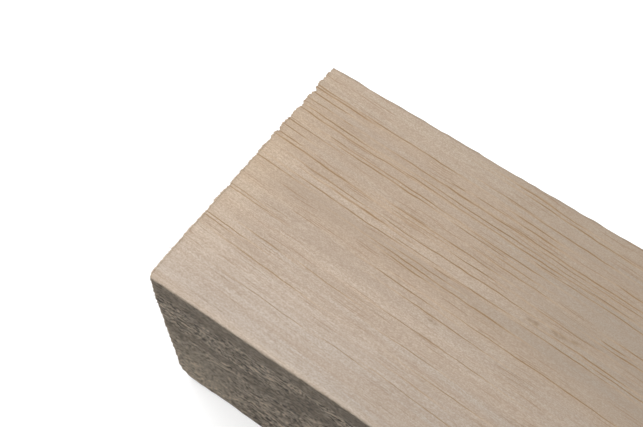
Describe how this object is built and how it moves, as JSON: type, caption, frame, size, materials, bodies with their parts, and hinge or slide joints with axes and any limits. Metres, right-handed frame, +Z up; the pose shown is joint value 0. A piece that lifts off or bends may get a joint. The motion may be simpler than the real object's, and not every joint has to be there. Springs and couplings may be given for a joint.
{
  "type": "timber plank",
  "caption": "Straight solid timber plank with planed wide faces, rough-sawn weathered edges, eased arrises and ragged saw-cut ends.",
  "frame": {"origin": "middle of the planed face that the plank lies on", "axes": "+X along the grain, +Y across the wide faces towards the far edge, +Z up through the thickness"},
  "size_m": [0.915, 0.05, 0.038],
  "materials": {
    "planed_wood": "matte"
  },
  "bodies": {
    "root": {"plank": "planed_wood"}
  },
  "joints": []
}
